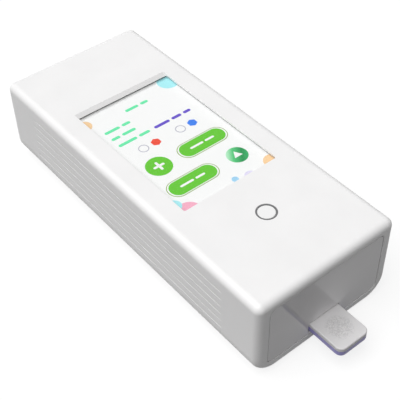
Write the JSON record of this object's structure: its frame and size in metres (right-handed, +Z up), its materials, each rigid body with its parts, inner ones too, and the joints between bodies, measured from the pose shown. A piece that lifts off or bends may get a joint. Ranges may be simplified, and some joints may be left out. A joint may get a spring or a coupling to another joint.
{
  "type": "rapid test reader",
  "caption": "Handheld white reader for rapid test cards, with a touch display, a round push button and a card slot in its front panel.",
  "frame": {"origin": "under the middle of the footprint, test card included, at the level the rubber pads stand on", "axes": "+Z up, the card slot and front panel face -Y, the display reads upright from -Y, +X to the right seen from the front"},
  "size_m": [0.0822, 0.2196, 0.0485],
  "materials": {
    "casing_white": "satin moulded white ABS",
    "panel_white": "polished moulded white ABS",
    "pad_rubber": "matte grey rubber",
    "screw_steel": "plated steel",
    "window_glass": "polished cover glass",
    "gasket_foam": "black closed-cell foam",
    "lcd_face": "lit display",
    "bracket_steel": "tinned sheet steel",
    "ring_grey": "grey light guide",
    "button_white": "satin moulded white ABS",
    "switch_black": "black nylon",
    "board_green": "green solder mask",
    "shield_tin": "tinned steel",
    "chip_black": "moulded epoxy",
    "flex_amber": "polyimide film",
    "cell_wrap": "blue shrink wrap over a metal can",
    "tray_grey": "grey ABS",
    "contact_nickel": "nickel plate",
    "socket_steel": "plated steel",
    "card_grey": "satin moulded polystyrene",
    "card_lavender": "satin moulded polystyrene",
    "strip_paper": "nitrocellulose membrane on a backing card",
    "guide_grey": "grey acetal",
    "spring_steel": "spring steel strip",
    "optics_black": "black anodised",
    "motor_can": "plated steel can",
    "shaft_steel": "ground stainless steel",
    "bush_brass": "turned brass",
    "lens_glass": "polished optical glass",
    "filter_red": "coloured filter glass",
    "lamp_epoxy": "clear epoxy"
  },
  "bodies": {
    "casing": {"top_casing": "casing_white", "bottom_cover": "casing_white", "front_panel": "panel_white", "rear_panel": "panel_white", "foot_pads": "pad_rubber", "casing_screws": "screw_steel", "display_window": "window_glass", "display_gasket": "gasket_foam", "lcd_module": "lcd_face", "display_bracket": "bracket_steel", "button_light_ring": "ring_grey", "key_switch": "switch_black", "key_board": "board_green", "main_board": "board_green", "processor_shield": "shield_tin", "board_chips": "chip_black", "buzzer": "switch_black", "display_flex": "flex_amber", "battery_cells": "cell_wrap", "battery_tray": "tray_grey", "battery_contacts": "contact_nickel", "io_board": "board_green", "charge_socket": "socket_steel", "card_guide": "guide_grey", "card_spring": "spring_steel", "card_sensor": "switch_black", "optics_base": "optics_black", "guide_rods": "shaft_steel", "screw_bearing": "bush_brass", "scan_motor": "motor_can", "small_screws": "screw_steel"},
    "power_button": {"power_button": "button_white", "switch_plunger": "switch_black"},
    "test_card": {"card_lower_shell": "card_lavender", "card_upper_shell": "card_grey", "test_strip": "strip_paper"},
    "scan_carriage": {"scan_carriage": "optics_black", "carriage_bushes": "bush_brass", "carriage_nut": "bush_brass", "optic_block": "optics_black", "excitation_lamp": "lamp_epoxy", "collector_lens": "lens_glass", "emission_filter": "filter_red", "detector_board": "board_green"},
    "lead_screw": {"lead_screw": "shaft_steel"}
  },
  "joints": [
    {"name": "button_press", "type": "slide", "parent": "casing", "child": "power_button", "axis": [0, 0, -1], "range_m": [0, 0.0004], "stiffness_N_per_m": 2500},
    {"name": "card_slide", "type": "slide", "parent": "casing", "child": "test_card", "axis": [0, -1, 0], "range_m": [0, 0.052]},
    {"name": "head_scan", "type": "slide", "parent": "casing", "child": "scan_carriage", "axis": [0, 1, 0], "range_m": [0, 0.024]},
    {"name": "screw_spin", "type": "hinge", "parent": "casing", "child": "lead_screw", "pos_m": [0, 0, 0.0342], "axis": [0, 1, 0], "range_deg": [0, 4325]}
  ],
  "couplings": [
    {"joint": "screw_spin", "follows": "head_scan", "rad_per_m": 3141.6}
  ]
}
